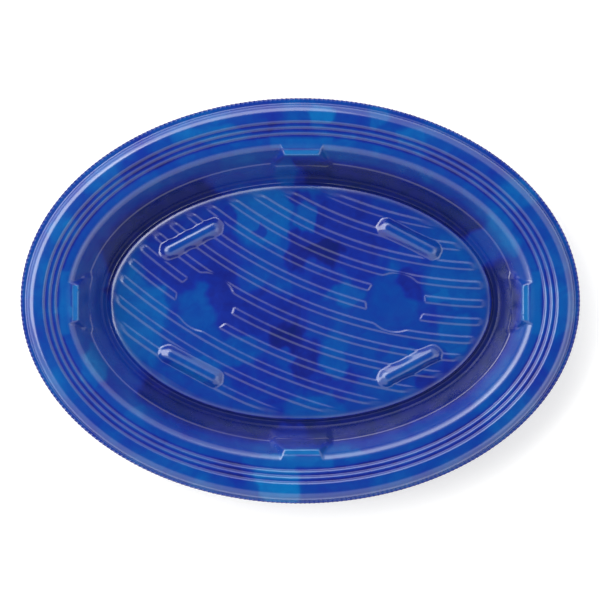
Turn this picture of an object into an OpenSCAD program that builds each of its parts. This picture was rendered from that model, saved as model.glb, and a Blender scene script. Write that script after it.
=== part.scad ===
// Oval thermoformed dish with a rolled flange, a stepped lid seat, four
// de-nesting lugs and a raised floor. All sizes in millimetres.
// +X is the long axis, +Y the short axis, +Z up. The origin is at the centre of
// the foot ring, on the table.
// The dish is one formed sheet made of two bonded layers: a structural core
// below and a thin decorated film on top. Each layer is a solid of its own.

/* [Outline] */
// Overall length over the flange
length = 270; // [262:1:280]
// Overall width over the flange
width = 195.8; // [190:0.1:202]
// Height from the table to the crown of the flange
height = 27; // [25:0.5:30]
/* [Sheet] */
// Thickness of the structural core
core_t = 0.6; // [0.5:0.05:0.7]
// Thickness of the decorated film
film_t = 0.2; // [0.15:0.05:0.25]

/* [Flange] */
// Width of the flat edge lip
lip_w = 2.0; // [1.6:0.1:2.2]
// Drop from the crown to the edge lip
lip_drop = 3.4; // [3.2:0.1:3.6]
// Radius of the rolled outer bead
bead_r = 4.7; // [4.6:0.1:4.8]
// Distance from the edge to the top of the bead
bead_in = 6.9; // [6.8:0.1:7.0]
// Distance from the edge to the first step
step_in = 10.3; // [10:0.1:10.6]
// Spacing of the steps
step_pitch = 2.75; // [2.7:0.05:2.8]
// Number of steps down to the lid seat
step_n = 3; // [3:1:3]
// Drop of each step
step_drop = 1.0; // [0.8:0.1:1.2]

/* [Wall] */
// Distance from the edge to where the lid seat ends
seat_in = 20.4; // [20.2:0.1:20.6]
// Radius of the rounded shoulder below the lid seat
shoulder_r = 5.2; // [5:0.1:5.4]
// Steepest angle of the shoulder
shoulder_angle = 62; // [60:1:64]
// Distance from the edge to the crease shelf
crease_in = 29.2; // [29:0.1:29.4]
// Width of the crease shelf
crease_w = 0.8; // [0.7:0.1:0.9]
// Distance from the edge to the foot of the wall
foot_in = 36.6; // [36.4:0.1:36.8]
// Distance from the edge to the inner side of the foot ring
foot_out = 39.1; // [38.9:0.1:39.3]
// Height of the raised floor above the bottom of the foot ring
floor_rise = 1.4; // [1.2:0.1:1.6]
// Width of the rounded slope between the foot ring and the raised floor
floor_slope_w = 4.2; // [4:0.1:4.4]

/* [Lugs] */
// Half width of a lug where it leaves the lid seat
lug_outer = 10.9; // [10.5:0.1:11.3]
// Half width of a lug at its straight inner edge
lug_inner = 7.9; // [7.6:0.1:8.2]
// Distance from the flange edge to a lug's straight inner edge
lug_in = 27.4; // [27.2:0.1:27.6]
// Run of a lug's sloped faces over their height
lug_run = 5.0; // [4.8:0.1:5.2]

/* [Floor bumps] */
// Distance of the bumps from the short axis
bump_x = 54.0; // [53:0.5:55]
// Distance of the bumps from the long axis
bump_y = 31.4; // [30.5:0.1:32]
// Angle of the bumps to the long axis
bump_angle = 27.5; // [25:0.5:30]
// Length of a bump at its base
bump_len = 34.2; // [33:0.2:35]
// Width of a bump at its base
bump_w = 8.4; // [8:0.1:8.8]
// Width of a bump's flat top
bump_top_w = 4.8; // [4.6:0.1:5]
// Height of a bump above the floor
bump_h = 2.6; // [2.4:0.1:2.8]

/* [Hidden] */

a = length / 2;
b = width / 2;
sheet_t = core_t + film_t;

// Three tangent arcs fill a quadrant: an end arc, a corner arc and a side arc.
// The line of centres from the end arc to the corner arc runs along a 3-4-5
// triangle, and the one from the corner arc to the side arc along a 5-12-13
// triangle, so the arcs meet exactly and their radii are round numbers.
side_leg_x = 25;
side_leg_y = 60;
side_gap = 65;
end_gap = (a - b - side_leg_x + side_gap - side_leg_y) / 0.4;
corner_r = a - side_leg_x + 0.2 * end_gap;
end_r = corner_r - end_gap;
side_r = corner_r + side_gap;
end_cx = side_leg_x + 0.8 * end_gap;
corner_cx = side_leg_x;
corner_cy = -0.6 * end_gap;
side_cy = corner_cy - side_leg_y;
end_angle = atan(0.75);
side_angle = atan(2.4);

seat_z = height - step_n * step_drop;
floor_z = sheet_t + floor_rise;
inner = 60;
join = 50;

// The upper surface as [distance in from the edge, height]
function bead() = [
    for (t = [66:-11:0]) [bead_in - bead_r * sin(t), height - bead_r * (1 - cos(t))]
];
function step(i) = let (x = step_in + i * step_pitch, z = height - i * step_drop) [
    [x, z],
    [x + 1.1, z - 0.15 * step_drop],
    [x + 1.7, z - 0.5 * step_drop],
    [x + 2.0, z - step_drop]
];
function shoulder() = [
    for (i = [0:6]) let (t = i * shoulder_angle / 6)
        [seat_in + shoulder_r * sin(t), seat_z - shoulder_r * (1 - cos(t))]
];
shoulder_end_in = seat_in + shoulder_r * sin(shoulder_angle);
shoulder_end_z = seat_z - shoulder_r * (1 - cos(shoulder_angle));
crease_z = shoulder_end_z - (crease_in - shoulder_end_in) * tan(shoulder_angle + 2);
function tidy(l) = [for (p = l) [round(p[0] * 100) / 100, round(p[1] * 100) / 100]];
skin = tidy(concat(
    [[0, height - lip_drop], [lip_w, height - lip_drop]],
    bead(),
    step(0), step(1), step(2),
    shoulder(),
    [[crease_in, crease_z], [crease_in + crease_w, crease_z - 0.4],
     [foot_in, sheet_t], [foot_out, sheet_t],
     [foot_out + 0.12 * floor_slope_w, sheet_t + 0.36 * floor_rise],
     [foot_out + 0.36 * floor_slope_w, sheet_t + 0.7 * floor_rise],
     [foot_out + 0.66 * floor_slope_w, sheet_t + 0.92 * floor_rise],
     [foot_out + floor_slope_w, floor_z], [inner, floor_z]]
));

// The skin turned about one arc's centre, and the wedge that cuts it to the arc
module turned(cx, cy, r, bottom, past) {
    translate([cx, cy, 0])
        rotate_extrude($fn = 180)
            polygon(concat(
                [[r + past, skin[0][1]]],
                [for (i = [1:len(skin) - 1]) [r - skin[i][0], skin[i][1]]],
                [[r - inner, bottom - past], [r + past, bottom - past]]
            ));
}
module wedge(points) {
    translate([0, 0, -5]) linear_extrude(height + 10) polygon(points);
}
module end_sector(bottom, past) {
    intersection() {
        turned(end_cx, 0, end_r, bottom, past);
        wedge([[end_cx, 0], [end_cx + 160, -120], [end_cx + 160, 120]]);
    }
}
module corner_sector(bottom, past) {
    intersection() {
        turned(corner_cx, corner_cy, corner_r, bottom, past);
        wedge([[corner_cx, corner_cy], [corner_cx + 160, corner_cy + 120],
               [corner_cx + 3 * side_leg_x, corner_cy + 3 * side_leg_y]]);
    }
}
module side_sector(bottom, past) {
    intersection() {
        turned(0, side_cy, side_r, bottom, past);
        wedge([[0, side_cy], [4 * side_leg_x, side_cy + 4 * side_leg_y],
               [-4 * side_leg_x, side_cy + 4 * side_leg_y]]);
    }
}

function on_arc(cx, cy, r, t) = [cx + r * cos(t), cy + r * sin(t)];
function quarter(d) = concat(
    [for (i = [0:3]) on_arc(end_cx, 0, end_r - d, i * end_angle / 4)],
    [for (i = [0:3]) on_arc(corner_cx, corner_cy, corner_r - d, end_angle + i * (side_angle - end_angle) / 4)],
    [for (i = [0:3]) on_arc(0, side_cy, side_r - d, side_angle + i * (90 - side_angle) / 4)]
);
function mirror_x(l) = [for (p = l) [-p[0], p[1]]];
function reverse(l) = [for (i = [len(l) - 1:-1:0]) l[i]];
function oval(d) = let (q = quarter(d), top = [[0, b - d]])
    concat(
        q, top, reverse([for (i = [1:len(q) - 1]) [-q[i][0], q[i][1]]]),
        [for (p = q) [-p[0], -p[1]]], -top, reverse([for (i = [1:len(q) - 1]) [q[i][0], -q[i][1]]])
    );

// One lug: the lid seat carried inward as a flat-topped block with drafted sides
module lug(reach) {
    z1 = seat_z;
    z0 = seat_z - 16;
    lean = (lug_outer - lug_inner) / (lug_in - 20);
    side = sqrt(1 + lean * lean);
    u_out = lug_outer + lug_run * side;
    u_in = u_out - (lug_in + lug_run - 20) * lean;
    points = [
        [-u_out, reach - 20, z0], [u_out, reach - 20, z0],
        [u_in, reach - lug_in - lug_run, z0], [-u_in, reach - lug_in - lug_run, z0],
        [-lug_outer, reach - 20, z1], [lug_outer, reach - 20, z1],
        [lug_inner, reach - lug_in, z1], [-lug_inner, reach - lug_in, z1]
    ];
    polyhedron(points, [
        [3, 2, 1, 0], [4, 5, 6, 7], [0, 1, 5, 4], [1, 2, 6, 5], [2, 3, 7, 6], [3, 0, 4, 7]
    ]);
}

// One oblong bump with sloped sides and round ends
module bump() {
    half = bump_len / 2 - bump_w / 2;
    z0 = -1;
    grow = (bump_w - bump_top_w) / 2 / bump_h;
    section = [
        [0, z0], [bump_w / 2 - grow * z0, z0], [bump_top_w / 2, bump_h], [0, bump_h]
    ];
    for (s = [0, 180])
        rotate([0, 0, s]) translate([half, 0, 0])
            rotate_extrude(angle = 180, start = -90, $fn = 72) polygon(section);
    rotate([90, 0, 90]) translate([0, 0, -half]) linear_extrude(2 * half)
        polygon([
            [-bump_w / 2 + grow * z0, z0], [bump_w / 2 - grow * z0, z0],
            [bump_top_w / 2, bump_h], [-bump_top_w / 2, bump_h]
        ]);
}

// Everything below the dish's upper surface, out to the edge or a little past it
module under(bottom, past = 0) {
    for (m = [0, 1]) {
        mirror([m, 0, 0]) end_sector(bottom, past);
        mirror([0, m, 0]) side_sector(bottom, past);
        for (n = [0, 1]) mirror([m, 0, 0]) mirror([0, n, 0]) corner_sector(bottom, past);
    }
    translate([0, 0, bottom - past]) linear_extrude(floor_z - bottom + past) polygon(oval(join));
    for (s = [0, 180]) {
        rotate([0, 0, s]) lug(b);
        rotate([0, 0, s + 90]) lug(a);
        for (m = [1, -1])
            rotate([0, 0, s]) translate([m * bump_x, bump_y, floor_z])
                rotate([0, 0, -m * bump_angle]) bump();
    }
}

// One layer of the sheet, from top down to top + thick below the surface
module layer(top, thick) {
    bottom = sheet_t - thick - 0.2;
    difference() {
        translate([0, 0, -top]) under(bottom);
        translate([0, 0, -top - thick]) under(bottom, past = 2);
    }
}

module core_sheet() color([0.05, 0.13, 0.42]) layer(film_t, core_t);
module decor_film() color([0.06, 0.25, 0.66]) layer(0, film_t);

core_sheet();
decor_film();
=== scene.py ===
import math

import bpy
import numpy as np
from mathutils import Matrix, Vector


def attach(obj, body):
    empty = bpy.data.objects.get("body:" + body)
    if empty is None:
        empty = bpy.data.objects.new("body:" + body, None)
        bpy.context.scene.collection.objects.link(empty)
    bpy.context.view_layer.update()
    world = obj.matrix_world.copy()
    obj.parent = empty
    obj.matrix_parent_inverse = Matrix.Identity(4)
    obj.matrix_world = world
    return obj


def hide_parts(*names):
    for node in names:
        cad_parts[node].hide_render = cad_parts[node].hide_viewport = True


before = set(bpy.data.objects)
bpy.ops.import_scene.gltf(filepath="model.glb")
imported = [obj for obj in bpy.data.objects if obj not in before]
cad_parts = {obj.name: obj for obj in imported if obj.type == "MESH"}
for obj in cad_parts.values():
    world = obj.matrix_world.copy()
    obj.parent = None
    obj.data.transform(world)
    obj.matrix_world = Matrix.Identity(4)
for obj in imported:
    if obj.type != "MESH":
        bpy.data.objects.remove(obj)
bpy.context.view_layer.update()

TAU = 2 * math.pi
MM = 0.001

# ---------------------------------------------------------------- sizes (mm)
# The cut edge, and the formed shape inside it. The blank was trimmed a little
# out of register, so the lip is wider on one long side than on the other.
CUT_A, CUT_B = 134.98, 97.84
FORM_A, FORM_B = 134.75, 98.15
FORM_X, FORM_Y = 0.14, -0.72
TEETH = 328
FILM_T, CORE_T = 0.2, 0.6

# the roll from the raised floor down to the foot ring
ROLL_IN, ROLL_R, ROLL_END = 43.3, 10.8, 20.0
LIP_Z, CROWN_Z, SEAT_Z = 23.6, 27.0, 24.0
FOOT_Z, FLOOR_Z = 0.8, 2.2


def smoothstep(x, lo, hi):
    s = np.clip((x - lo) / (hi - lo), 0.0, 1.0)
    return s * s * (3 - 2 * s)


def smax(p, q, k):
    """The higher of two surfaces, blended over a height of k."""
    h = np.clip(0.5 + 0.5 * (p - q) / k, 0.0, 1.0)
    return q + (p - q) * h + k * h * (1 - h)


def smin(p, q, k):
    return -smax(-p, -q, k)


# ------------------------------------------------- the flange and wall profile
def profile_points():
    pts = [(-6.0, LIP_Z), (2.3, LIP_Z)]
    for t in np.radians(np.linspace(70, 0, 36)):
        pts.append((6.9 - 4.7 * math.sin(t), CROWN_Z - 4.7 * (1 - math.cos(t))))
    z = CROWN_Z
    for i in range(3):
        x = 10.3 + 2.75 * i
        for t in np.radians(np.linspace(0, 62, 16)):
            pts.append((x + 1.45 * math.sin(t), z - 1.45 * (1 - math.cos(t))))
        z -= 1.0
        pts.append((x + 1.45, z))
    for t in np.radians(np.linspace(0, 62, 34)):
        pts.append((20.4 + 5.2 * math.sin(t), SEAT_Z - 5.2 * (1 - math.cos(t))))
    pts += [(27.2, 16.95), (29.2, 12.55), (29.95, 12.2), (36.6, FOOT_Z), (39.1, FOOT_Z)]
    for t in np.radians(np.linspace(ROLL_END, 0, 25)):
        pts.append((ROLL_IN - ROLL_R * math.sin(t), FLOOR_Z - ROLL_R * (1 - math.cos(t))))
    pts.append((200.0, FLOOR_Z))
    return np.array(pts)


PROFILE = profile_points()
FINE_D = np.arange(-6.0, 62.0, 0.02)


def blurred(values, sigma, step):
    n = int(4 * sigma / step)
    k = np.exp(-0.5 * (np.arange(-n, n + 1) * step / sigma) ** 2)
    k /= k.sum()
    padded = np.concatenate([np.full(n, values[0]), values, np.full(n, values[-1])])
    return np.convolve(padded, k, "valid")


RAW_Z = np.interp(FINE_D, PROFILE[:, 0], PROFILE[:, 1])
FINE_Z = blurred(RAW_Z, 0.16, 0.02)
# the foot of the wall and the outer foot of the bead are sharp inner corners
SHARP = smoothstep(FINE_D, 33.5, 34.5) * (1 - smoothstep(FINE_D, 38.0, 39.0))
SHARP = SHARP + smoothstep(FINE_D, 1.9, 2.2) * (1 - smoothstep(FINE_D, 2.8, 3.4))
FINE_Z = FINE_Z * (1 - SHARP) + RAW_Z * SHARP


def profile_z(d):
    return np.interp(d, FINE_D, FINE_Z)


# --------------------------------------------------------------- plan position
def inset(x, y):
    """How far in from the formed outline a point lies."""
    x, y = np.abs(x - FORM_X), np.abs(y - FORM_Y)
    d = np.minimum(np.minimum(FORM_A - x, FORM_B - y) - 1e-6, 60.0)
    for _ in range(30):
        p, q = FORM_A - d, FORM_B - d
        g = (x / p) ** 2 + (y / q) ** 2 - 1
        slope = 2 * x * x / p**3 + 2 * y * y / q**3
        d = np.where(g > 0, d - g / np.maximum(slope, 1e-9), d)
    return np.clip(d, -6.0, 60.0)


# Four lugs, each by the way it points in, the place of its middle along the
# edge, and how far in its straight front edge lies.
LUGS = [
    ((0, -1), 0.58, 27.1),
    ((0, 1), 0.58, 27.1),
    ((1, 0), -0.3, 27.55),
    ((-1, 0), -0.3, 27.55),
]


def lug_axes(x, y, way):
    """Distance along the edge and distance in from the formed outline."""
    x, y = x - FORM_X, y - FORM_Y
    if way[0] == 0:
        return x, FORM_B + way[1] * y
    return y, FORM_A + way[0] * x


def lug_z(u, v, front):
    """Top, front and sides of one lug, with the shallow step across its top."""
    u = np.abs(u)
    top = SEAT_Z - 0.34 * smoothstep(v, front - 3.0, front - 2.35)
    front_face = SEAT_Z - 0.34 - 3.0 * (v - front)
    line = 8.1 + 0.5 * (front - v)
    side_face = SEAT_Z - 0.1 - 1.5 * (u - line) / math.sqrt(1 + 0.5**2)
    return smin(smin(top, front_face, 0.85), side_face, 1.0)


# ------------------------------------------------------------------- the floor
# The floor waves are ribs on arcs about one point beyond the dish.
WAVE_X, WAVE_Y = 94.26, 224.15
WAVE_W, WAVE_H = 3.3, 0.42


def wave_number(x, y):
    s = (np.hypot(x - WAVE_X, y - WAVE_Y) - 245) / 60
    return 5.1278 + 6.5921 * s + 0.0108 * s**2 - 0.0836 * s**3


def wave_z(x, y):
    n = wave_number(x, y)
    pitch = 9.15
    off = np.abs(n - np.round(n)) * pitch
    rise = 1 - smoothstep(off, WAVE_W / 2 - 0.65, WAVE_W / 2 + 0.65)
    return WAVE_H * rise


PADS = [(-47.2, -0.5, 14.5), (47.2, -0.8, 14.6)]
BUMPS = [(-54.0, 31.4, 27.5), (54.0, 31.4, -27.5), (-54.0, -31.4, -27.5), (54.0, -31.4, 27.5)]


def bump_share(x, y, cx, cy, turn):
    """0 at a bump's foot and 1 at its flat top, and below 0 beyond its foot."""
    a = math.radians(turn)
    dx, dy = x - cx - FORM_X, y - cy - FORM_Y
    p = np.abs(dx * math.cos(a) + dy * math.sin(a))
    q = np.abs(-dx * math.sin(a) + dy * math.cos(a))
    t = np.zeros_like(p)
    for _ in range(14):
        along = np.maximum(p - (12.9 - 0.95 * t), 0)
        t = np.clip((4.2 - np.hypot(along, q)) / 1.8, -3, 3)
    return t


def floor_z(x, y):
    pad = np.ones_like(x)
    for cx, cy, r in PADS:
        pad *= smoothstep(np.hypot(x - cx, y - cy), r - 0.5, r + 0.7)
    z = FLOOR_Z + wave_z(x, y) * pad
    swell = 0.5 + 0.5 * np.cos(TAU * wave_number(x, y))
    for cx, cy, turn in BUMPS:
        t = bump_share(x, y, cx, cy, turn)
        # where a rib runs into a bump it widens the bump's foot
        from_spine = 4.2 - 1.8 * t
        t = t + 0.42 * swell * pad * (1 - smoothstep(t, 0.1, 1.1)) * smoothstep(t, -1.3, -0.3)
        side = FLOOR_Z + 2.6 * t
        top = FLOOR_Z + 2.8 - 0.1 * from_spine**2
        z = smax(z, smin(side, top, 1.0), 0.75)
    return z


# -------------------------------------------------------------- the whole skin
def skin_z(x, y):
    d = inset(x, y)
    shift = np.zeros_like(d)
    for way, mid, front in LUGS:
        u, v = lug_axes(x, y, way)
        near = (np.abs(u - mid) < 20) & (v < 50)
        w = 1 - smoothstep(np.abs(u - mid), 11.6, 15.8)
        shift = np.where(near, np.maximum(shift, w), shift)
    down = smoothstep(d, 26.0, 29.5) * (1 - smoothstep(d, 31.5, 36.2))
    z = profile_z(d - 1.6 * shift * down)
    for way, mid, front in LUGS:
        u, v = lug_axes(x, y, way)
        near = (np.abs(u - mid) < 24) & (d > 20.0) & (d < 36)
        lug = lug_z(u - mid, v, front)
        fillet = 0.02 + 0.9 * smoothstep(d, 20.8, 24.0)
        z = np.where(near, smax(z, lug, fillet), z)
    inside = d > 39.0
    lift = floor_z(x, y) - FLOOR_Z
    z = np.where(inside, profile_z(d) + lift * smoothstep(d, 42.2, 46.0), z)
    return z


# ------------------------------------------------------------------- the mesh
def spread(n, a, b, density=None):
    """n parameter values round an ellipse, evenly spaced along it, or by density."""
    t = np.linspace(0, TAU, 24001)
    x, y = a * np.cos(t), b * np.sin(t)
    step = np.hypot(np.diff(x), np.diff(y))
    if density is not None:
        step = step * density((x[1:] + x[:-1]) / 2, (y[1:] + y[:-1]) / 2)
    s = np.concatenate([[0], np.cumsum(step)])
    return np.interp(np.arange(n) / n, s / s[-1], t)


def lug_density(x, y):
    near = np.minimum(
        np.abs(x - 0.5) + 1e3 * (np.abs(y) < 60), np.abs(y + 0.3) + 1e3 * (np.abs(x) < 100)
    )
    return 1 + 1.3 * (1 - smoothstep(near, 17, 24))


class Sheet:
    """Rings of points with triangles between them, from the edge to the middle."""

    def __init__(self):
        self.xy, self.params, self.tris, self.count = [], [], [], 0
        self.starts = []

    def ring(self, x, y, param):
        self.starts.append(self.count)
        self.xy.append(np.stack([x, y], 1))
        self.params.append(param)
        self.count += len(x)
        if len(self.xy) > 1:
            self.join(len(self.xy) - 2, len(self.xy) - 1)

    def join(self, i, j):
        a, b = self.params[i], self.params[j]
        na, nb = len(a), len(b)
        sa, sb = self.starts[i], self.starts[j]
        after_a = np.append(a[1:], a[0] + 1)
        after_b = np.append(b[1:], b[0] + 1)
        key = np.concatenate([after_a, after_b + 1e-9])
        kind = np.concatenate([np.zeros(na, int), np.ones(nb, int)])
        order = np.argsort(key, kind="stable")
        kind = kind[order]
        ia = np.cumsum(kind == 0) - (kind == 0)
        ib = np.cumsum(kind == 1) - (kind == 1)
        is_a = kind == 0
        self.tris.append(
            np.stack([sa + ia % na, sa + (ia + 1) % na, sb + ib % nb], 1)[is_a]
        )
        is_b = ~is_a
        self.tris.append(
            np.stack([sa + ia % na, sb + (ib + 1) % nb, sb + ib % nb], 1)[is_b]
        )


def build_sheet():
    sheet = Sheet()
    # the lip, dense enough for its teeth
    n = TEETH * 8
    t = spread(n, CUT_A, CUT_B)
    par = np.arange(n) / n
    lip = [0.0, 0.25, 0.6, 1.0, 1.4, 1.8]
    for d in lip:
        x, y = CUT_A * np.cos(t), CUT_B * np.sin(t)
        fx, fy = FORM_X + (FORM_A - d) * np.cos(t), FORM_Y + (FORM_B - d) * np.sin(t)
        w = smoothstep(np.array([d]), 0.0, 2.6)[0]
        cx, cy = (CUT_A - d) * np.cos(t), (CUT_B - d) * np.sin(t)
        if d == 0:
            sheet.ring(x, y, par)
        else:
            sheet.ring(cx * (1 - w) + fx * w, cy * (1 - w) + fy * w, par)
    # the flange, wall and foot
    n = 820
    t2 = spread(n, FORM_A, FORM_B, lug_density)
    par2 = np.interp(t2, np.append(t, t[0] + TAU), np.append(par, 1.0))
    rings = [2.1, 2.4, 2.48, 2.56, 2.7]
    rings += [6.9 - 4.7 * math.sin(math.radians(a)) for a in range(60, -1, -4)]
    rings += [8.2, 9.5, 10.2]
    for i in range(3):
        x0 = 10.3 + 2.75 * i
        rings += [x0 + s for s in (0.3, 0.6, 0.85, 1.05, 1.25, 1.42, 1.6, 1.85)]
        rings += [x0 + 2.3]
    rings += [18.6, 19.6, 20.4, 21.0]
    rings += [21.5, 22.0, 22.5, 23.0, 23.5, 24.0, 24.5, 25.0, 25.5, 26.0, 26.5, 27.0]
    rings += [27.5, 28.0, 28.5, 28.9, 29.2, 29.5, 29.8, 30.1, 30.45, 30.8, 31.2, 31.6, 32.0]
    rings += [33.0, 34.0, 35.0, 35.9, 36.4, 36.55, 36.6, 36.65, 36.8, 37.4, 38.4]
    rings += [39.2, 39.5, 39.7, 39.95, 40.3, 40.65, 41.0, 41.3, 41.6]
    for d in rings:
        w = smoothstep(np.array([d]), 0.0, 2.6)[0]
        fx, fy = FORM_X + (FORM_A - d) * np.cos(t2), FORM_Y + (FORM_B - d) * np.sin(t2)
        cx, cy = (CUT_A - d) * np.cos(t2), (CUT_B - d) * np.sin(t2)
        sheet.ring(cx * (1 - w) + fx * w, cy * (1 - w) + fy * w, par2)
    # the floor, down to a slit that is closed at the end
    step = 0.56
    d = 42.0
    last = FORM_B - 0.25
    count = int(round((last - d) / step))
    for d in np.linspace(d, last, count + 1):
        a, b = FORM_A - d, FORM_B - d
        around = math.pi * (3 * (a + b) - math.sqrt((3 * a + b) * (a + 3 * b)))
        n = int(round(around / step / 2)) * 2
        t3 = spread(n, a, b)
        sheet.ring(FORM_X + a * np.cos(t3), FORM_Y + b * np.sin(t3), np.arange(n) / n)
    n = len(sheet.params[-1])
    s = sheet.starts[-1]
    half = n // 2
    j = np.arange(1, half - 1)
    up0, up1 = s + j, s + j + 1
    lo0, lo1 = s + n - j, s + n - j - 1
    sheet.tris.append(np.stack([up0, up1, lo0], 1)[:, [0, 1, 2]])
    sheet.tris.append(np.stack([up1, lo1, lo0], 1))
    sheet.tris.append(np.array([[s, s + 1, s + n - 1], [s + half - 1, s + half, s + half + 1]]))
    return sheet


sheet = build_sheet()
XY = np.concatenate(sheet.xy)
TRIS = np.concatenate(sheet.tris)
Z = skin_z(XY[:, 0], XY[:, 1])


def roughen(xy, z):
    """The teeth of the cut edge."""
    x, y = xy[:, 0].copy(), xy[:, 1].copy()
    par = np.concatenate(sheet.params)
    deep = np.minimum(CUT_A - np.abs(x), CUT_B - np.abs(y))
    rad = np.sqrt((x / CUT_A) ** 2 + (y / CUT_B) ** 2)
    far = (1 - rad) * np.hypot(x, y)
    far = np.where(rad > 0.9, far, 99.0)
    wave = np.cos(TAU * TEETH * par)
    fade = 1 - smoothstep(far, 0.35, 1.3)
    z = z + 0.14 * wave * fade
    pull = 0.09 * (0.5 - 0.5 * wave) * (1 - smoothstep(far, 0.0, 1.2))
    size = np.hypot(x, y)
    x, y = x * (1 - pull / size), y * (1 - pull / size)
    return x, y, z


X, Y, Z = roughen(XY, Z)
EDGE = len(sheet.params[0])


# ------------------------------------------------- the print, with painted shade on the step treads and the wall, as a tone field
def lattice_noise(x, y, seed):
    """Smooth noise from about -1 to 1, one cell per unit."""
    xi, yi = np.floor(x).astype(np.int64), np.floor(y).astype(np.int64)
    xf, yf = x - xi, y - yi
    u, v = xf**3 * (xf * (6 * xf - 15) + 10), yf**3 * (yf * (6 * yf - 15) + 10)

    def corner(dx, dy):
        h = ((xi + dx) * 374761393 + (yi + dy) * 668265263 + seed * 974634777) & 0x7FFFFFFF
        h = ((h ^ (h >> 13)) * 1274126177) & 0x7FFFFFFF
        a = ((h ^ (h >> 16)) % 4096) * (TAU / 4096)
        return np.cos(a) * (xf - dx) + np.sin(a) * (yf - dy)

    low = corner(0, 0) * (1 - u) + corner(1, 0) * u
    high = corner(0, 1) * (1 - u) + corner(1, 1) * u
    return 1.5 * (low * (1 - v) + high * v)


# Patches of the print: middle, half sizes, and tone from -1 navy to 1 cyan.
FLOOR_PATCHES = [
    (-80, -5, 15, 30, 0.42), (-57, 19, 26, 16, -0.38), (-66, 33, 14, 9, -0.3),
    (-19, 43, 18, 17, 0.42), (-36, 43, 5, 6, -0.35), (-20, 35, 2.5, 4, -0.25),
    (0, 51, 6, 4, -0.45), (-1, 25, 7, 12, -0.6), (22, 37, 24, 20, -0.4),
    (3, 42, 5, 7, 0.3), (12, 25, 10, 6, -0.8), (32, 20, 12, 10, -0.3),
    (47, 0, 14, 14, 0.1), (56, 8, 9, 8, -0.5), (78, 14, 17, 22, 0.25),
    (70, 1, 6, 4, 0.45), (-50, -3, 10, 13, 0.2), (-37, -1, 9, 14, -0.45),
    (-41, 14, 11, 8, -0.45), (-15, -7, 22, 14, -0.45), (-6, -18, 9, 8, -0.75),
    (-33, -25, 15, 8, 0.2), (-52, -34, 15, 6, 0.35), (-11, -46, 14, 9, -0.2),
    (2, -31, 8, 13, -0.55), (17, -29, 8, 12, 0.28), (33, -10, 17, 12, 0.0),
    (22, 3, 10, 6, 0.3), (8, -53, 18, 7, 0.25), (77, -18, 10, 11, 0.35),
    (42, -46, 15, 8, 0.1), (62, -41, 8, 6, -0.45), (50, -28, 9, 6, 0.2),
]
RIM_PATCHES = [
    (10, 89, 7, 7, 0.6), (38, 87, 5, 5, 0.35), (54, 79, 8, 5, 0.45), (-41, 79, 20, 5, 0.5),
    (-11, -89, 11, 14, 0.75), (17, -90, 16, 10, -0.1), (-112, -6, 6, 4, 0.65),
    (18, 76, 8, 3, 0.55), (96, 31, 9, 13, 0.7), (-99, -31, 6, 12, 0.7),
    (-72, 66, 13, 6, -0.25), (-115, 34, 7, 9, 0.5), (106, 53, 9, 8, 0.45),
    (-14, -77, 14, 4, 0.6), (26, -74, 10, 4, 0.45), (70, 66, 12, 6, -0.15),
    (-94, 58, 10, 8, 0.35), (124, -5, 8, 16, 0.35), (98, -50, 16, 9, 0.25),
    (-60, -77, 20, 8, 0.2), (-5, 80, 14, 4, 0.1), (-88, 12, 8, 14, 0.0),
]
# Lighter and darker patches in the painted shade of the wall, with the same columns.
WALL_SHADE_PATCHES = [
    (-92, -26, 18, 28, -0.1), (-103, 4, 9, 26, -0.02), (-23, 61, 26, 10, -0.1),
    (-7, 63, 6, 8, 0.2), (90, 26, 11, 11, 0.0), (-5, -66, 12, 6, -0.45),
]


def pull(tone, x, y, patches, keep):
    for cx, cy, rx, ry, goal in patches:
        r = np.sqrt(((x - cx) / rx) ** 2 + ((y - cy) / ry) ** 2)
        tone = tone + (goal - tone) * (1 - smoothstep(r, 0.72, 1.12)) * keep
    return tone


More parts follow.
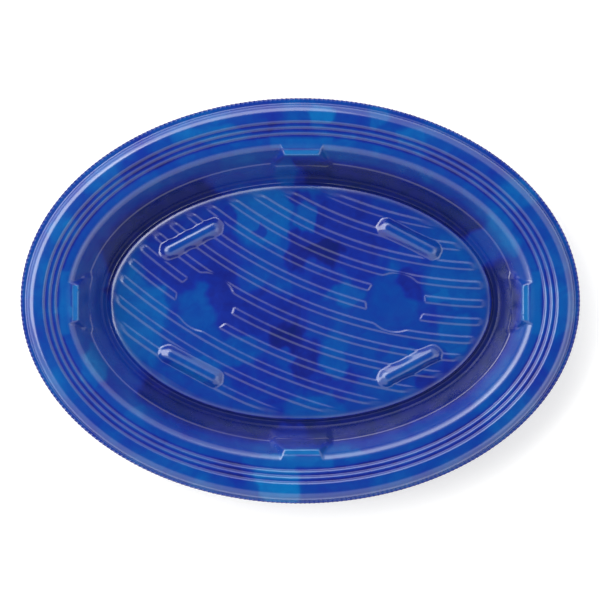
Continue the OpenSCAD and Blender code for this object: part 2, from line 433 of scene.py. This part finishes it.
def print_and_shade_tone(x, y):
    d = inset(x, y)
    wx = x + 3.2 * lattice_noise(x / 11, y / 11, 3) + 1.6 * lattice_noise(x / 4.5, y / 4.5, 5)
    wy = y + 3.2 * lattice_noise(x / 11, y / 11, 7) + 1.6 * lattice_noise(x / 4.5, y / 4.5, 9)
    big = lattice_noise(wx / 22, wy / 26, 11)
    mid = lattice_noise(wx / 9, wy / 12, 13)
    on_floor = smoothstep(d, 38.5, 40.5)
    tone = 0.06 - 0.16 * on_floor + 0.3 * big + 0.16 * mid
    on_rim = 1 - smoothstep(d, 24.5, 27.0)
    tone = pull(tone, wx, wy, FLOOR_PATCHES, 0.85 * on_floor)
    tone = pull(tone, wx, wy, RIM_PATCHES, 0.85 * (1 - on_floor))
    ledge = smoothstep(d, 17.0, 19.0) * (1 - smoothstep(d, 21.5, 24.0))
    tone = tone * (1 - 0.6 * ledge) + 0.06 * ledge
    # painted shade: a darker band is painted on the tread at the foot of each step
    for i in range(3):
        x0 = 10.3 + 2.75 * i
        tread_shade = smoothstep(d, x0 + 1.0, x0 + 1.4) * (1 - smoothstep(d, x0 + 2.2, x0 + 2.9))
        tone = tone - 0.42 * tread_shade
    edge = 1 - smoothstep(np.sqrt((x / CUT_A) ** 2 + (y / CUT_B) ** 2), 0.9935, 0.9965)
    tone = tone * edge - 0.55 * (1 - edge)
    # painted shade: the steep wall, from below the shoulder down to the foot, is painted dark
    # navy, with lighter patches
    wall_shade = smoothstep(d, 25.8, 31.2) * (1 - smoothstep(d, 39.6, 40.8))
    wall_shade_tone = -0.8 + 0.12 * mid
    wall_shade_tone = pull(wall_shade_tone, wx, wy, WALL_SHADE_PATCHES, 0.95)
    tone = tone * (1 - wall_shade) + wall_shade_tone * wall_shade
    for way, mid_u, front in LUGS:
        u, v = lug_axes(x, y, way)
        strip = (1 - smoothstep(np.abs(u - mid_u), 8.2, 9.4)) * smoothstep(v, 24.2, 24.8)
        strip = strip * (1 - smoothstep(v, front + 0.1, front + 0.9))
        near = (1 - smoothstep(np.abs(u - mid_u), 14, 20)) * (1 - smoothstep(v, 23.5, 24.5))
        near = near * smoothstep(v, 16.5, 19.5)
        tone = np.maximum(tone, -1 + 1.35 * near)
        tone = np.maximum(tone, -1 + 1.62 * strip)
    for cx, cy, turn in BUMPS:
        t = bump_share(x, y, cx, cy, turn)
        top = smoothstep(t, 0.6, 1.1)
        tone = tone + (0.22 - tone) * 0.75 * top
    return np.clip(tone, -1, 1)


PRINT_AND_SHADE_TONE = print_and_shade_tone(X, Y)
# the film is drawn thin on the wall and loses some of its gloss there
DEPTH = inset(X, Y)
STRETCH = smoothstep(DEPTH, 30.6, 32.4) * (1 - smoothstep(DEPTH, 35.0, 36.5))
STRETCH = STRETCH + 0.7 * smoothstep(DEPTH, 20.5, 23.0) * (1 - smoothstep(DEPTH, 28.2, 29.0))


def make_layer(name, top_drop, thick):
    """One closed layer of the sheet between two depths below the skin."""
    n = len(X)
    co = np.empty((2 * n, 3), np.float32)
    co[:n, 0], co[:n, 1], co[:n, 2] = X, Y, Z - top_drop
    co[n:, 0], co[n:, 1], co[n:, 2] = X, Y, Z - top_drop - thick
    co *= MM
    i = np.arange(EDGE)
    k = (i + 1) % EDGE
    rim = np.concatenate([np.stack([i, i + n, k + n], 1), np.stack([i, k + n, k], 1)])
    faces = np.concatenate([TRIS, TRIS[:, ::-1] + n, rim]).astype(np.int32)
    me = bpy.data.meshes.new(name)
    me.vertices.add(2 * n)
    me.vertices.foreach_set("co", co.ravel())
    me.loops.add(faces.size)
    me.loops.foreach_set("vertex_index", faces.ravel())
    me.polygons.add(len(faces))
    me.polygons.foreach_set("loop_start", np.arange(0, faces.size, 3, dtype=np.int32))
    me.polygons.foreach_set("use_smooth", np.ones(len(faces), bool))
    me.update(calc_edges=True)
    me.validate()
    me.set_sharp_from_angle(angle=math.radians(58))
    tone = me.attributes.new("print_and_shade_tone", "FLOAT", "POINT")
    tone.data.foreach_set("value", np.concatenate([PRINT_AND_SHADE_TONE, PRINT_AND_SHADE_TONE]).astype(np.float32))
    drawn = me.attributes.new("drawn", "FLOAT", "POINT")
    drawn.data.foreach_set("value", np.concatenate([STRETCH, STRETCH]).astype(np.float32))
    ob = bpy.data.objects.new(name, me)
    bpy.context.scene.collection.objects.link(ob)
    return ob


film = make_layer("top_film", 0.0, FILM_T)
core = make_layer("core_sheet_formed", FILM_T, CORE_T)
print("faces per layer", len(film.data.polygons), "vertices", len(film.data.vertices))


# --------------------------------------------------------------- the materials
def new_material(name):
    m = bpy.data.materials.new(name)
    m.use_nodes = True
    nt = m.node_tree
    return m, nt, nt.nodes["Principled BSDF"]


def node(nt, kind, **values):
    n = nt.nodes.new(kind)
    for k, v in values.items():
        setattr(n, k, v)
    return n


def stops(ramp, values):
    els = ramp.color_ramp.elements
    while len(els) > 1:
        els.remove(els[-1])
    for i, (pos, val) in enumerate(values):
        e = els[0] if i == 0 else els.new(pos)
        e.position = pos
        e.color = (*val, 1) if isinstance(val, tuple) else (val, val, val, 1)


def film_material():
    """Glossy clear film over a marbled print from navy through cobalt to cyan, with painted
    shade on the step treads and the wall.
    """
    m, nt, p = new_material("marbled_blue_film")
    link = nt.links.new
    co = node(nt, "ShaderNodeTexCoord")
    tone = node(nt, "ShaderNodeAttribute", attribute_name="print_and_shade_tone")
    fine = node(nt, "ShaderNodeTexNoise")
    fine.inputs["Scale"].default_value = 150
    fine.inputs["Detail"].default_value = 5
    fine.inputs["Roughness"].default_value = 0.6
    fine.inputs["Distortion"].default_value = 0.6
    link(co.outputs["Object"], fine.inputs["Vector"])
    spread_ = node(nt, "ShaderNodeMath", operation="MULTIPLY_ADD")
    link(tone.outputs["Fac"], spread_.inputs[0])
    spread_.inputs[1].default_value = 0.5
    spread_.inputs[2].default_value = 0.5
    shift = node(nt, "ShaderNodeMath", operation="MULTIPLY_ADD")
    link(fine.outputs["Fac"], shift.inputs[0])
    shift.inputs[1].default_value = 0.34
    shift.inputs[2].default_value = -0.17
    total = node(nt, "ShaderNodeMath", operation="ADD")
    link(spread_.outputs[0], total.inputs[0])
    link(shift.outputs[0], total.inputs[1])
    ramp = node(nt, "ShaderNodeValToRGB")
    stops(ramp, [
        (0.04, (0.0016, 0.0090, 0.090)),
        (0.2, (0.0040, 0.0095, 0.160)),
        (0.36, (0.0036, 0.0200, 0.250)),
        (0.55, (0.0008, 0.0450, 0.275)),
        (0.72, (0.0004, 0.0820, 0.320)),
        (0.96, (0.0008, 0.1540, 0.415)),
    ])

    link(total.outputs[0], ramp.inputs["Fac"])
    link(ramp.outputs["Color"], p.inputs["Base Color"])
    rough = node(nt, "ShaderNodeTexNoise")
    rough.inputs["Scale"].default_value = 60
    rough.inputs["Detail"].default_value = 4
    link(co.outputs["Object"], rough.inputs["Vector"])
    rmap = node(nt, "ShaderNodeMapRange")
    link(rough.outputs["Fac"], rmap.inputs["Value"])
    rmap.inputs["From Min"].default_value = 0.3
    rmap.inputs["From Max"].default_value = 0.7
    rmap.inputs["To Min"].default_value = 0.13
    rmap.inputs["To Max"].default_value = 0.20
    drawn = node(nt, "ShaderNodeAttribute", attribute_name="drawn")
    dull = node(nt, "ShaderNodeMath", operation="MULTIPLY_ADD")
    link(drawn.outputs["Fac"], dull.inputs[0])
    dull.inputs[1].default_value = 0.12
    link(rmap.outputs["Result"], dull.inputs[2])
    link(dull.outputs[0], p.inputs["Roughness"])
    peel = node(nt, "ShaderNodeTexNoise")
    peel.inputs["Scale"].default_value = 420
    peel.inputs["Detail"].default_value = 3
    link(co.outputs["Object"], peel.inputs["Vector"])
    bump = node(nt, "ShaderNodeBump")
    bump.inputs["Strength"].default_value = 0.12
    bump.inputs["Distance"].default_value = 0.0002
    link(peel.outputs["Fac"], bump.inputs["Height"])
    link(bump.outputs["Normal"], p.inputs["Normal"])
    p.inputs["IOR"].default_value = 1.8
    return m


def core_material():
    """Satin polystyrene coloured in the mass, a little uneven, with a fine grain."""
    m, nt, p = new_material("core_blue_plastic")
    link = nt.links.new
    co = node(nt, "ShaderNodeTexCoord")
    tone = node(nt, "ShaderNodeAttribute", attribute_name="print_and_shade_tone")
    cloud = node(nt, "ShaderNodeTexNoise")
    cloud.inputs["Scale"].default_value = 34
    cloud.inputs["Detail"].default_value = 5
    cloud.inputs["Distortion"].default_value = 0.8
    link(co.outputs["Object"], cloud.inputs["Vector"])
    # the print, with the painted shade of the step treads and the wall, shows faintly through
    # the thin sheet
    mix = node(nt, "ShaderNodeMath", operation="MULTIPLY_ADD")
    link(tone.outputs["Fac"], mix.inputs[0])
    mix.inputs[1].default_value = 0.12
    link(cloud.outputs["Fac"], mix.inputs[2])
    ramp = node(nt, "ShaderNodeValToRGB")
    stops(ramp, [
        (0.3, (0.0045, 0.0125, 0.085)),
        (0.5, (0.0060, 0.0190, 0.120)),
        (0.7, (0.0085, 0.0290, 0.160)),
    ])
    link(mix.outputs[0], ramp.inputs["Fac"])
    link(ramp.outputs["Color"], p.inputs["Base Color"])
    rough = node(nt, "ShaderNodeTexNoise")
    rough.inputs["Scale"].default_value = 90
    rough.inputs["Detail"].default_value = 4
    link(co.outputs["Object"], rough.inputs["Vector"])
    rmap = node(nt, "ShaderNodeMapRange")
    link(rough.outputs["Fac"], rmap.inputs["Value"])
    rmap.inputs["From Min"].default_value = 0.3
    rmap.inputs["From Max"].default_value = 0.7
    rmap.inputs["To Min"].default_value = 0.30
    rmap.inputs["To Max"].default_value = 0.46
    link(rmap.outputs["Result"], p.inputs["Roughness"])
    grain = node(nt, "ShaderNodeTexNoise")
    grain.inputs["Scale"].default_value = 1500
    grain.inputs["Detail"].default_value = 3
    link(co.outputs["Object"], grain.inputs["Vector"])
    bump = node(nt, "ShaderNodeBump")
    bump.inputs["Strength"].default_value = 0.25
    bump.inputs["Distance"].default_value = 0.0001
    link(grain.outputs["Fac"], bump.inputs["Height"])
    link(bump.outputs["Normal"], p.inputs["Normal"])
    p.inputs["IOR"].default_value = 1.5
    return m


film.data.materials.append(film_material())
core.data.materials.append(core_material())
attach(film, "root")
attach(core, "root")
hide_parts("decor_film")
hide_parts("core_sheet")


# ------------------------------------------------------------------ the stage
def floor_piece():
    me = bpy.data.meshes.new("floor")
    s = 6.0
    me.from_pydata([(-s, -s, 0), (s, -s, 0), (s, s, 0), (-s, s, 0)], [], [(0, 1, 2, 3)])
    ob = bpy.data.objects.new("floor", me)
    bpy.context.scene.collection.objects.link(ob)
    m, nt, p = new_material("pale_floor")
    co = node(nt, "ShaderNodeTexCoord")
    cloud = node(nt, "ShaderNodeTexNoise")
    cloud.inputs["Scale"].default_value = 6
    cloud.inputs["Detail"].default_value = 4
    nt.links.new(co.outputs["Object"], cloud.inputs["Vector"])
    ramp = node(nt, "ShaderNodeValToRGB")
    stops(ramp, [(0.3, (0.80, 0.80, 0.80)), (0.7, (0.84, 0.84, 0.84))])
    nt.links.new(cloud.outputs["Fac"], ramp.inputs["Fac"])
    nt.links.new(ramp.outputs["Color"], p.inputs["Base Color"])
    p.inputs["Roughness"].default_value = 0.7
    p.inputs["Emission Color"].default_value = (1, 1, 1, 1)
    p.inputs["Emission Strength"].default_value = 0.32
    me.materials.append(m)
    return ob


floor_piece()


def area_light(name, azimuth, zenith, distance, size_x, size_y, radiance, colour=(1, 1, 1)):
    """A soft panel that faces the dish. Azimuth is from +X towards +Y."""
    a, z = math.radians(azimuth), math.radians(zenith)
    way = Vector((math.cos(a) * math.sin(z), math.sin(a) * math.sin(z), math.cos(z)))
    data = bpy.data.lights.new(name, "AREA")
    data.shape = "RECTANGLE"
    data.size, data.size_y = size_x, size_y
    data.energy = radiance * math.pi * size_x * size_y
    data.color = colour
    ob = bpy.data.objects.new(name, data)
    ob.location = way * distance
    ob.rotation_euler = way.to_track_quat("Z", "Y").to_euler()
    bpy.context.scene.collection.objects.link(ob)
    return ob


area_light("key", 160, 47, 1.6, 1.5, 1.12, 3.6)
area_light("key_side", 108, 48, 1.6, 1.1, 1.1, 2.2)
area_light("panel_right", -25, 46, 1.6, 1.2, 0.8, 0.7)

world = bpy.data.worlds.new("studio")
bpy.context.scene.world = world
world.use_nodes = True
wn = world.node_tree
bg = wn.nodes["Background"]
tc = wn.nodes.new("ShaderNodeTexCoord")
sep = wn.nodes.new("ShaderNodeSeparateXYZ")
ramp = wn.nodes.new("ShaderNodeValToRGB")
wn.links.new(tc.outputs["Generated"], sep.inputs[0])
wn.links.new(sep.outputs["Z"], ramp.inputs["Fac"])
wn.links.new(ramp.outputs["Color"], bg.inputs["Color"])
stops(ramp, [(0.0, 0.8), (0.5, 1.0), (0.84, 1.0), (0.945, 0.12), (0.975, 0.05)])
bg.inputs["Strength"].default_value = 0.98

cam_data = bpy.data.cameras.new("camera")
cam = bpy.data.objects.new("camera", cam_data)
cam.location = (-0.0001, 0.00039, 0.7836)
cam.rotation_euler = (0, 0, 0)
cam_data.sensor_width = 36.0
cam_data.lens = 94.53
cam_data.clip_start, cam_data.clip_end = 0.01, 20.0
bpy.context.scene.collection.objects.link(cam)
bpy.context.scene.camera = cam
bpy.context.scene.view_settings.view_transform = "Standard"
